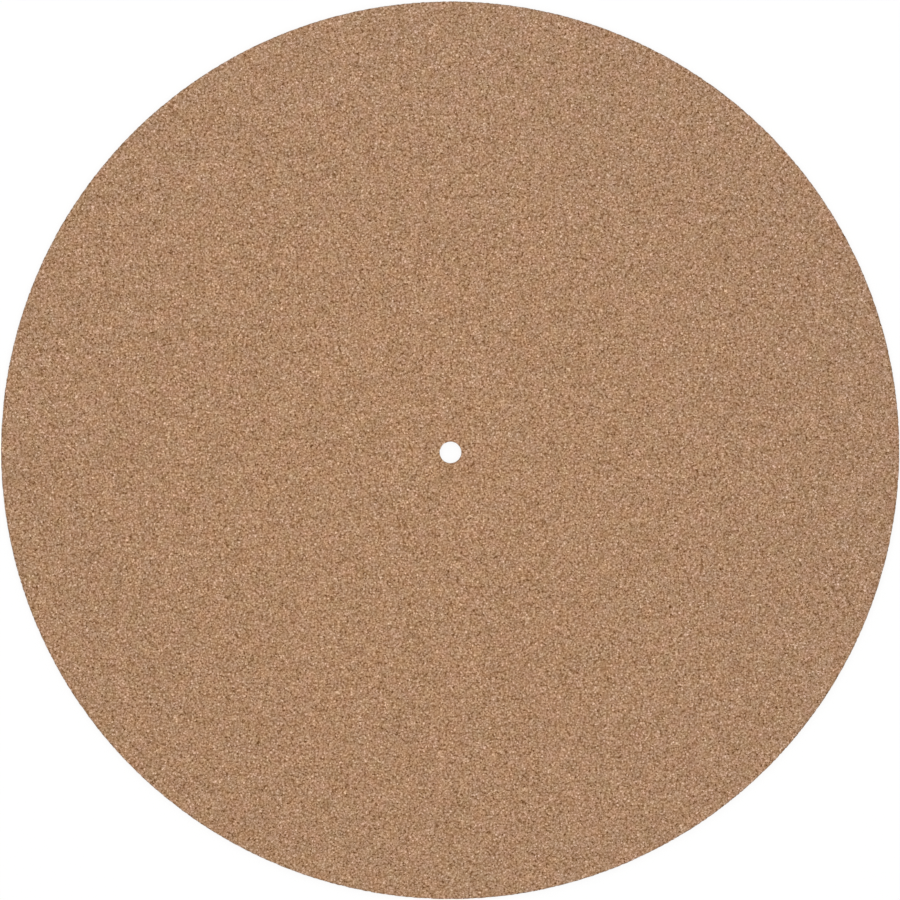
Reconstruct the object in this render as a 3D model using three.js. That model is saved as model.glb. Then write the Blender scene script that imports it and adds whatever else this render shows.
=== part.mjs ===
// Turntable platter mat: a flat disc of fine-grained agglomerated cork, stamped from one sheet.
// It lies on the platter under the record, and the platter's spindle comes up through its hole.
// Millimetres, +Z up. The origin is on the spindle's axis, level with the face that lies on the platter.

import * as THREE from 'three';

// Driving dimensions
const matDiameter = 300;
const matThickness = 3;
const spindleHoleDiameter = 7.2;
const rimEdgeRadius = 0.3; // the stamped outline, where the cork has crumbled to a small round
const holeEdgeRadius = 0.2; // the same at the spindle hole, which wears less

// How finely the round shapes are faceted
const facetsAround = 240;
const facetsPerEdgeRound = 2;

const corkFinish = { name: 'cork', color: '#ad8769', roughness: 0.95, metalness: 0 };

// A quarter circle of the section, from startAngle anticlockwise, about (radius from the axis, height).
function edgeRound(centreRadius, centreHeight, roundRadius, startAngle) {
  const points = [];
  for (let i = 0; i <= facetsPerEdgeRound; i++) {
    const angle = startAngle + (Math.PI / 2) * (i / facetsPerEdgeRound);
    points.push(new THREE.Vector2(
      centreRadius + roundRadius * Math.cos(angle),
      centreHeight + roundRadius * Math.sin(angle),
    ));
  }
  return points;
}

// The mat's section on one side of the axis: a flat bar with its four edges rounded, closed on itself.
function matSection() {
  const rimRadius = matDiameter / 2;
  const holeRadius = spindleHoleDiameter / 2;
  const section = [
    ...edgeRound(rimRadius - rimEdgeRadius, rimEdgeRadius, rimEdgeRadius, -Math.PI / 2),
    ...edgeRound(rimRadius - rimEdgeRadius, matThickness - rimEdgeRadius, rimEdgeRadius, 0),
    ...edgeRound(holeRadius + holeEdgeRadius, matThickness - holeEdgeRadius, holeEdgeRadius, Math.PI / 2),
    ...edgeRound(holeRadius + holeEdgeRadius, holeEdgeRadius, holeEdgeRadius, Math.PI),
  ];
  return [...section, section[0].clone()];
}

function corkMat() {
  const geometry = new THREE.LatheGeometry(matSection(), facetsAround);
  geometry.rotateX(Math.PI / 2); // the lathe turns about Y, and the mat's axis is Z
  const mesh = new THREE.Mesh(geometry, new THREE.MeshStandardMaterial(corkFinish));
  mesh.name = 'cork_mat';
  return mesh;
}

const platterMat = new THREE.Group();
platterMat.name = 'turntable_platter_mat';
platterMat.add(corkMat());

export default platterMat;
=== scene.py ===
import math

import bmesh
import bpy
from mathutils import Matrix, Vector, noise


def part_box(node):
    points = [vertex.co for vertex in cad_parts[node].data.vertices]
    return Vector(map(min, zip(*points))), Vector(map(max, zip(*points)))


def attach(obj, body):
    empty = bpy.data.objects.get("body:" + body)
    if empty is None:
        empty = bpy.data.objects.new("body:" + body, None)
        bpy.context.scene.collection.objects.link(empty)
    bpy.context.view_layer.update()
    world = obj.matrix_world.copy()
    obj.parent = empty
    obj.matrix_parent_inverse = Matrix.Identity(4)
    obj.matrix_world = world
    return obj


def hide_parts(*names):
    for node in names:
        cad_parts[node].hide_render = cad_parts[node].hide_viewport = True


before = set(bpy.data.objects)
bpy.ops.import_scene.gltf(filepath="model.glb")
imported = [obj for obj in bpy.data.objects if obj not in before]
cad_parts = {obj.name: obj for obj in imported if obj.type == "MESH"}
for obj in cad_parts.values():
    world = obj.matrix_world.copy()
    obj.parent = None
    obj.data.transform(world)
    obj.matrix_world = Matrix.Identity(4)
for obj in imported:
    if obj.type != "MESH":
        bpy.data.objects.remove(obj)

scene = bpy.context.scene
scene.view_settings.view_transform = "Standard"

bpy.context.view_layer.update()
matLow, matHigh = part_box("cork_mat")
matRadius = (matHigh.x - matLow.x) / 2
matThickness = matHigh.z - matLow.z


# Small helpers

def fromScreen(red, green, blue):
    # a colour as a screen shows it, 0 to 255, in Blender's linear values
    def linear(value):
        value /= 255
        return value / 12.92 if value <= 0.04045 else ((value + 0.055) / 1.055) ** 2.4
    return (linear(red), linear(green), linear(blue), 1.0)


def grey(value):
    return (value, value, value, 1.0)


def addNode(tree, kind, inputs=None, **settings):
    made = tree.nodes.new("ShaderNode" + kind)
    for name, value in settings.items():
        setattr(made, name, value)
    for name, value in (inputs or {}).items():
        if isinstance(value, bpy.types.NodeSocket):
            tree.links.new(value, made.inputs[name])
        else:
            made.inputs[name].default_value = value
    return made


def calculate(tree, operation, first, second):
    return addNode(tree, "Math", {0: first, 1: second}, operation=operation).outputs[0]


def calculateVector(tree, operation, first, second):
    return addNode(tree, "VectorMath", {0: first, 1: second}, operation=operation).outputs["Vector"]


def distanceFrom(tree, place, point):
    return addNode(tree, "VectorMath", {0: place, 1: point}, operation="DISTANCE").outputs["Value"]


def remap(tree, value, low, high, newLow=0.0, newHigh=1.0, interpolation="SMOOTHSTEP"):
    inputs = {"Value": value, "From Min": low, "From Max": high, "To Min": newLow, "To Max": newHigh}
    return addNode(tree, "MapRange", inputs, interpolation_type=interpolation).outputs[0]


def centred(tree, value, scale):
    # a value from 0 to 1, moved to lie round 0 and scaled
    return calculate(tree, "MULTIPLY", calculate(tree, "SUBTRACT", value, 0.5), scale)


def setStops(ramp, stops):
    while len(ramp.elements) < len(stops):
        ramp.elements.new(1.0)
    for element, (share, colour) in zip(ramp.elements, stops):
        element.position = share
        element.color = colour


def newMaterial(name):
    made = bpy.data.materials.new(name)
    made.use_nodes = True
    made.node_tree.nodes.clear()
    return made, made.node_tree


# Camera: it looks down a little off the axis, as the hole's place in the photograph shows.
# The outline's ellipse and the hole are given in pixels of the 900 x 900 photograph.

photoView = {
    "side": 900.0,
    "outlineCentre": (450.14, 450.20),
    "outlineRadius": 448.97,
    "holeCentre": (450.53, 452.62),   # of its upper edge: the white seen through it lies 0.2 higher
    "distance": 1.0,           # from the face, in metres
    "sensor": 36.0,
    "wornIn": 0.00013,         # how far inside its full radius the crumbled rim shows, in metres
}


def aimCamera():
    distance = photoView["distance"]
    pixelsPerMetre = photoView["outlineRadius"] / (matRadius - photoView["wornIn"])
    middle = Vector((photoView["side"] / 2, photoView["side"] / 2))
    hole = Vector(photoView["holeCentre"])
    aside = hole - Vector(photoView["outlineCentre"])
    lean = aside * (distance / (photoView["outlineRadius"] * matRadius))
    face = Vector((0, 0, matHigh.z))
    place = face + distance * Vector((-lean.x, lean.y, math.sqrt(1 - lean.length_squared)))
    target = face + Vector((middle.x - hole.x, hole.y - middle.y, 0)) / pixelsPerMetre
    forward = (target - place).normalized()
    right = forward.cross(Vector((0, 1, 0))).normalized()
    up = right.cross(forward)
    turn = Matrix((right, up, -forward)).transposed().to_4x4()
    lens = bpy.data.cameras.new("photoCamera")
    lens.sensor_width = photoView["sensor"]
    lens.lens = photoView["sensor"] * pixelsPerMetre * distance / photoView["side"]
    camera = bpy.data.objects.new("photoCamera", lens)
    camera.matrix_world = Matrix.Translation(place) @ turn
    scene.collection.objects.link(camera)
    scene.camera = camera


aimCamera()
print("camera: aimed")


# Studio: floor and sky are white to the eye, and shed soft light in which colours show as written

white = fromScreen(255, 255, 255)

studio = {
    "sky": 0.55,               # what the sky sheds on the mat
    "floorShade": 0.13,        # the share of the floor's white that a shadow can take away
    "floorGlow": 0.877,        # the rest of its white, which no shadow takes
    "shadeFrom": 0.2,          # metres from the middle, between which the shade fades away,
    "shadeTo": 0.7,            # so that the floor meets the sky with no line
    "floorBounce": 0.8,        # what the floor sends back up
    "floorSide": 60.0,
    "lampWide": 0.5,
    "lampLong": 1.2,
    "lampPlace": (-0.012, 0.06, 0.6),
    "lampPower": 2.65,
}


def seenByEye(tree):
    # 1 for what the camera sees straight, in gloss or through glass, and 0 for light on its way
    path = addNode(tree, "LightPath")
    gloss = calculate(tree, "MAXIMUM", path.outputs["Is Camera Ray"], path.outputs["Is Glossy Ray"])
    return calculate(tree, "MAXIMUM", gloss, path.outputs["Is Transmission Ray"])


def makeSky():
    world = bpy.data.worlds.new("whiteSky")
    world.use_nodes = True
    tree = world.node_tree
    tree.nodes.clear()
    strength = remap(tree, seenByEye(tree), 0.0, 1.0, studio["sky"], 1.0, "LINEAR")
    sky = addNode(tree, "Background", {"Color": white, "Strength": strength})
    addNode(tree, "OutputWorld", {"Surface": sky.outputs[0]})
    scene.world = world


def floorMaterial():
    material, tree = newMaterial("whiteFloor")
    away = distanceFrom(tree, addNode(tree, "TexCoord").outputs["Object"], (0, 0, 0))
    fadesOver = (studio["shadeFrom"], studio["shadeTo"])
    glow = addNode(tree, "Emission", {
        "Color": white, "Strength": remap(tree, away, *fadesOver, studio["floorGlow"], 1.0)})
    shade = remap(tree, away, *fadesOver, studio["floorShade"], 0.0)
    shadeColour = addNode(tree, "CombineXYZ", {0: shade, 1: shade, 2: shade})
    shaded = addNode(tree, "BsdfDiffuse", {"Color": shadeColour.outputs[0]})
    seen = addNode(tree, "AddShader", {0: glow.outputs[0], 1: shaded.outputs[0]})
    dull = addNode(tree, "BsdfDiffuse", {"Color": grey(studio["floorBounce"])})
    either = addNode(tree, "MixShader", {0: seenByEye(tree), 1: dull.outputs[0], 2: seen.outputs[0]})
    addNode(tree, "OutputMaterial", {"Surface": either.outputs[0]})
    return material


def makeFloor():
    bm = bmesh.new()
    bmesh.ops.create_grid(bm, x_segments=1, y_segments=1, size=studio["floorSide"] / 2)
    mesh = bpy.data.meshes.new("floor")
    bm.to_mesh(mesh)
    bm.free()
    mesh.materials.append(floorMaterial())
    floor = bpy.data.objects.new("floor", mesh)
    scene.collection.objects.link(floor)


def makeLamp():
    light = bpy.data.lights.new("softbox", "AREA")
    light.shape = "ELLIPSE"
    light.size = studio["lampWide"]
    light.size_y = studio["lampLong"]
    light.energy = studio["lampPower"]
    lamp = bpy.data.objects.new("softbox", light)
    lamp.location = studio["lampPlace"]
    lamp.rotation_mode = "QUATERNION"
    lamp.rotation_quaternion = Vector(studio["lampPlace"]).to_track_quat("Z", "Y")
    lamp.visible_camera = False
    scene.collection.objects.link(lamp)


makeSky()
makeFloor()
makeLamp()
print("studio: sky, floor and softbox")


# Cork: pressed crumbs in clusters, with glue between the crumbs and darker joints round the clusters

cork = {
    "crumb": 0.00037,          # across one crumb, in metres
    "raggedness": 0.0002,      # the size of the notches in the crumbs' outlines, and how deep they go
    "wander": 0.0002,
    "crumbTones": (            # a crumb's tone by its draw: old bark first, and pale new cork last
        (0.0, 0.0), (0.055, 0.0), (0.075, 0.34), (0.5, 0.51), (0.945, 0.67), (0.96, 0.9),
        (1.0, 1.0)),
    "crumbContrast": 0.73,
    "glueDepth": 0.08,         # how much darker the glue is between crumbs
    "glueFrom": 0.35,          # where it begins and is darkest, from the middle of a crumb at 0
    "glueTo": 0.75,
    "cluster": 0.00075,        # across a cluster of crumbs that were pressed together, in metres
    "jointDepth": 0.52,        # how much darker it gets out towards the joints between clusters
    "oddShare": 0.03,          # the few clusters that have a tone of their own
    "oddContrast": 0.5,
    "speckle": 0.00056,        # soft spots, where the sheet was pressed more or less
    "speckleContrast": 0.2,
    "tone": 0.532,             # the middle tone
    "darkest": (94, 54, 18),   # what tone 0 and tone 1 are, as a screen shows them
    "lightest": (252, 213, 183),
    "toneSteps": 8,            # the stops between them
    "patch": 0.0048,           # patches a little redder or bluer than the rest, in metres
    "patchDetail": 2.0,
    "redDrift": 0.2,
    "blueDrift": 0.33,
    "fadeMiddle": (-0.03, -0.025, 0.0),   # the warmest place, from which the cork goes slowly greyer
    "fadeFrom": 0.03,
    "fadeTo": 0.3,
    "fade": (0.957, 1.0, 1.103),
    "paintedShadeFrom": 0.6,           # how near a cut its painted shade begins
    "cutShadeTint": (0.89, 0.93, 1.0),   # painted shade: the cuts are made darker and greyer, as a shaded cut edge looks
    "relief": 0.00004,         # how far the glue lies below the crumbs, in metres
    "reliefFrom": 0.2,
    "barkRoughness": 0.98,     # old bark is dull, and a fresh pale crumb has a faint sheen
    "paleRoughness": 0.8,
    "sheen": 0.2,
}


def strayFrom(tree, place):
    # moves each place a little aside, which gives the crumbs ragged outlines
    stray = addNode(tree, "TexNoise", {"Vector": place, "Scale": 1 / cork["raggedness"], "Detail": 0.0})
    offset = calculateVector(tree, "SUBTRACT", stray.outputs["Color"], (0.5, 0.5, 0.5))
    reach = 2 * cork["wander"]
    offset = calculateVector(tree, "MULTIPLY", offset, (reach, reach, reach))
    return calculateVector(tree, "ADD", place, offset)


def crumbTone(tree, crumbs):
    draw = addNode(tree, "SeparateColor", {0: crumbs.outputs["Color"]})
    ramp = addNode(tree, "ValToRGB", {0: draw.outputs[0]})
    setStops(ramp.color_ramp, [(share, grey(tone)) for share, tone in cork["crumbTones"]])
    return centred(tree, ramp.outputs[0], cork["crumbContrast"])


def oddTone(tree, clusters):
    draws = addNode(tree, "SeparateColor", {0: clusters.outputs["Color"]})
    isOdd = calculate(tree, "LESS_THAN", draws.outputs[1], cork["oddShare"])
    return calculate(tree, "MULTIPLY", centred(tree, draws.outputs[0], cork["oddContrast"]), isOdd)


def corkTone(tree, place, crumbs, clusters):
    # how pale the cork is, from 0 to 1
    joints = centred(tree, clusters.outputs["Distance"], -cork["jointDepth"])
    glue = remap(
        tree, crumbs.outputs["Distance"], cork["glueFrom"], cork["glueTo"], 0.0, -cork["glueDepth"])
    speckles = addNode(tree, "TexNoise", {"Vector": place, "Scale": 1 / cork["speckle"], "Detail": 0.0})
    speckle = centred(tree, speckles.outputs[0], cork["speckleContrast"])
    tone = calculate(tree, "ADD", crumbTone(tree, crumbs), cork["tone"])
    for part in (oddTone(tree, clusters), joints, glue, speckle):
        tone = calculate(tree, "ADD", tone, part)
    return tone


def toneColour(tree, tone):
    stops = []
    for step in range(cork["toneSteps"] + 1):
        share = step / cork["toneSteps"]
        shown = [low + (high - low) * share for low, high in zip(cork["darkest"], cork["lightest"])]
        stops.append((share, fromScreen(*shown)))
    ramp = addNode(tree, "ValToRGB", {0: tone})
    setStops(ramp.color_ramp, stops)
    return ramp.outputs[0]


def driftingTint(tree, place):
    # patches a little redder or bluer
    patches = addNode(tree, "TexNoise", {
        "Vector": place, "Scale": 1 / cork["patch"], "Detail": cork["patchDetail"]})
    draws = addNode(tree, "SeparateColor", {0: patches.outputs["Color"]})
    red = calculate(tree, "ADD", centred(tree, draws.outputs[0], cork["redDrift"]), 1.0)
    blue = calculate(tree, "ADD", centred(tree, draws.outputs[2], cork["blueDrift"]), 1.0)
    return addNode(tree, "CombineXYZ", {0: red, 1: 1.0, 2: blue}).outputs[0]


def tintWhere(tree, colour, share, tint):
    # multiplies a colour by a tint, as far as share says
    tinted = calculateVector(tree, "MULTIPLY", colour, tint)
    return addNode(tree, "Mix", {0: share, 6: colour, 7: tinted}, data_type="RGBA").outputs[2]


def corkColour(tree, place, tone):
    colour = calculateVector(tree, "MULTIPLY", toneColour(tree, tone), driftingTint(tree, place))
    away = distanceFrom(tree, place, cork["fadeMiddle"])
    colour = tintWhere(tree, colour, remap(tree, away, cork["fadeFrom"], cork["fadeTo"]), cork["fade"])
    # painted shade along both cuts: darker and greyer towards the walls and rounds
    cutPaintedShade = addNode(tree, "Attribute", attribute_name="cutPaintedShade").outputs["Fac"]
    return tintWhere(tree, colour, remap(tree, cutPaintedShade, cork["paintedShadeFrom"], 1.0), cork["cutShadeTint"])


def corkMaterial():
    material, tree = newMaterial("pressedCork")
    place = addNode(tree, "TexCoord").outputs["Object"]
    strayed = strayFrom(tree, place)
    crumbs = addNode(tree, "TexVoronoi", {"Vector": strayed, "Scale": 1 / cork["crumb"]})
    # half a cluster up, so that both faces cut through the middle of a layer of clusters
    raised = addNode(tree, "Mapping", {"Vector": strayed, "Location": (0, 0, cork["cluster"] / 2)})
    clusters = addNode(tree, "TexVoronoi", {
        "Vector": raised.outputs[0], "Scale": 1 / cork["cluster"]})
    tone = corkTone(tree, place, crumbs, clusters)
    height = remap(tree, crumbs.outputs["Distance"], cork["reliefFrom"], cork["glueTo"], 1.0, 0.0)
    relief = addNode(tree, "Bump", {"Height": height, "Strength": 1.0, "Distance": cork["relief"]})
    surface = addNode(tree, "BsdfPrincipled", {
        "Base Color": corkColour(tree, place, tone),
        "Roughness": remap(tree, tone, 0.0, 1.0, cork["barkRoughness"], cork["paleRoughness"], "LINEAR"),
        "Specular IOR Level": cork["sheen"],
        "Normal": relief.outputs[0]})
    addNode(tree, "OutputMaterial", {"Surface": surface.outputs[0]})
    return material


# The mat: one stamped disc, with the crumbs along its rim and its hole worn round

mat = {
    "rimRound": 0.0003,        # as on the CAD part, in metres
    "rimColumns": 3600,        # about a quarter of a millimetre apart
    "holeRadius": 0.0036,
    "holeRound": 0.0002,
    "holeColumns": 96,
    "band": 0.0012,            # the strip of each face beside a cut, which crumbles with it
    "roundRows": 3,
    "wallRows": 9,
    "bandRows": 3,
    # the rings of each face, from the rim in, with their columns: close together only beside the cuts
    "faceRings": (
        (0.1476, 1800), (0.145, 900), (0.14, 450), (0.128, 240), (0.1, 160), (0.06, 96),
        (0.025, 60), (0.008, 60)),
    "slack": 0.00001,          # a point this near a ring or a plane lies on it
    "crumb": 0.0009,           # the crumbs that stand out along a cut
    "grooveDepth": 0.00006,    # between two crumbs
    "grooveSlope": 3,          # the more, the narrower the groove
    "pitDepth": 0.00016,       # where a crumb has fallen out
    "pitShare": 0.07,
    "drawSpread": 50,          # sets the crumbs' middles far enough apart to draw by them
    "holeShadeShare": 0.3,           # the hole's edge gets less of the painted shade than the rim
    "upperMapRadius": 0.42,    # the upper face with both cuts, and the underside, on the unit square
    "underMapRadius": 0.16,
}


def across(vert):
    return math.hypot(vert.co.x, vert.co.y)


def isByRim(radius):
    return radius > matRadius / 2


def ringEdges(bm, radius, height):
    # the open edges on one circle of one face
    def isOnRing(vert):
        return abs(across(vert) - radius) < mat["slack"] and abs(vert.co.z - height) < mat["slack"]
    return [
        edge for edge in bm.edges
        if len(edge.link_faces) < 2 and all(isOnRing(vert) for vert in edge.verts)]


def addRing(bm, radius, height, columns):
    bmesh.ops.create_circle(
        bm, segments=columns, radius=radius, cap_ends=False,
        matrix=Matrix.Translation((0, 0, height)))
    return ringEdges(bm, radius, height)


def extrudeRing(bm, edges, grow, lift):
    # pulls a ring of edges out or in, or up, and returns the new ring
    grown = bmesh.ops.extrude_edge_only(bm, edges=edges)["geom"]
    verts = [item for item in grown if isinstance(item, bmesh.types.BMVert)]
    bmesh.ops.scale(bm, vec=(grow, grow, 1), verts=verts)
    bmesh.ops.translate(bm, vec=(0, 0, lift), verts=verts)
    return [item for item in grown if isinstance(item, bmesh.types.BMEdge)]


def cutEdge(bm, radius, columns, roundSize, inward):
    # one stamped edge: the wall, its two rounds, and the strip of both faces beside it
    bottom = addRing(bm, radius, matLow.z, columns)
    top = extrudeRing(bm, bottom, 1, matThickness)
    bandGrow = 1 - inward * mat["band"] / radius
    extrudeRing(bm, top, bandGrow, 0)
    extrudeRing(bm, bottom, bandGrow, 0)
    bmesh.ops.bevel(
        bm, geom=bottom + top, offset=roundSize, offset_type="OFFSET", affect="EDGES",
        segments=mat["roundRows"], profile=0.5, material=-1)


def subdivideRows(bm):
    upright = [
        edge for edge in bm.edges
        if abs(edge.verts[0].co.z - edge.verts[1].co.z) > matThickness / 2]
    bmesh.ops.subdivide_edges(bm, edges=upright, cuts=mat["wallRows"])
    bands = [
        edge for edge in bm.edges
        if abs(across(edge.verts[0]) - across(edge.verts[1])) > mat["band"] / 2]
    bmesh.ops.subdivide_edges(bm, edges=bands, cuts=mat["bandRows"] - 1)


def fillFaces(bm):
    for height in (matLow.z, matHigh.z):
        outer = ringEdges(bm, matRadius - mat["band"], height)
        for radius, columns in mat["faceRings"]:
            inner = addRing(bm, radius, height, columns)
            bmesh.ops.triangle_fill(bm, use_beauty=True, edges=outer + inner)
            outer = inner
        inner = ringEdges(bm, mat["holeRadius"] + mat["band"], height)
        bmesh.ops.triangle_fill(bm, use_beauty=True, edges=outer + inner)


def layOutMap(bm):
    # unrolls the surface for baking: the upper face with both cuts as one disc, the underside as another
    layer = bm.loops.layers.uv.new("OFBake")
    reach = matRadius + mat["rimRound"] + matThickness
    upperCentre = Vector((mat["upperMapRadius"], mat["upperMapRadius"]))
    underCentre = Vector((1 - mat["underMapRadius"], 1 - mat["underMapRadius"]))
    for face in bm.faces:
        isUnder = all(vert.co.z < matLow.z + mat["slack"] for vert in face.verts)
        for loop in face.loops:
            radius = across(loop.vert)
            drop = matHigh.z - loop.vert.co.z
            edge, away = (matRadius, 1) if isByRim(radius) else (mat["holeRadius"], -1)
            if isUnder:
                shown = radius / matRadius * mat["underMapRadius"]
                centre = underCentre
            else:
                # below the middle of the wall the radius turns back, so it is mirrored to keep going
                along = radius if drop < matThickness / 2 else 2 * edge - radius
                shown = (along + away * drop) / reach * mat["upperMapRadius"]
                centre = upperCentre
            loop[layer].uv = centre + Vector(loop.vert.co.xy) * (shown / radius)


def crumble(bm):
    # sinks the joints between the crumbs along both cuts, and the places where one has fallen out
    bm.normal_update()
    paintedShadeLayer = bm.verts.layers.float.new("cutPaintedShade")
    for vert in bm.verts:
        radius = across(vert)
        fromCut = min(matRadius - radius, radius - mat["holeRadius"])
        if fromCut >= mat["band"] - mat["slack"]:
            continue
        fade = 1 - max(0.0, fromCut - mat["rimRound"]) / (mat["band"] - mat["rimRound"])
        distances, points = noise.voronoi(vert.co / mat["crumb"])
        groove = max(0.0, 1 - mat["grooveSlope"] * (distances[1] - distances[0]))
        hasFallen = noise.cell(points[0] * mat["drawSpread"]) < mat["pitShare"]
        pit = mat["pitDepth"] * (1 - groove) if hasFallen else 0
        # how much painted shade the point gets, fading in across the band beside a cut
        vert[paintedShadeLayer] = fade * (1 if isByRim(radius) else mat["holeShadeShare"])
        vert.co -= vert.normal * (mat["grooveDepth"] * groove * groove + pit) * fade


def makeMat():
    bm = bmesh.new()
    cutEdge(bm, matRadius, mat["rimColumns"], mat["rimRound"], 1)
    cutEdge(bm, mat["holeRadius"], mat["holeColumns"], mat["holeRound"], -1)
    subdivideRows(bm)
    fillFaces(bm)
    bmesh.ops.recalc_face_normals(bm, faces=bm.faces)
    layOutMap(bm)
    crumble(bm)
    print("mat:", len(bm.verts), "points,", sum(len(face.verts) - 2 for face in bm.faces), "triangles,",
          sum(1 for edge in bm.edges if not edge.is_manifold), "open edges")
    mesh = bpy.data.meshes.new("corkMat")
    bm.to_mesh(mesh)
    bm.free()
    mesh.shade_smooth()
    mesh.materials.append(corkMaterial())
    piece = bpy.data.objects.new("corkMat", mesh)
    scene.collection.objects.link(piece)
    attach(piece, "root")
    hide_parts("cork_mat")


makeMat()
print("mat: in place")
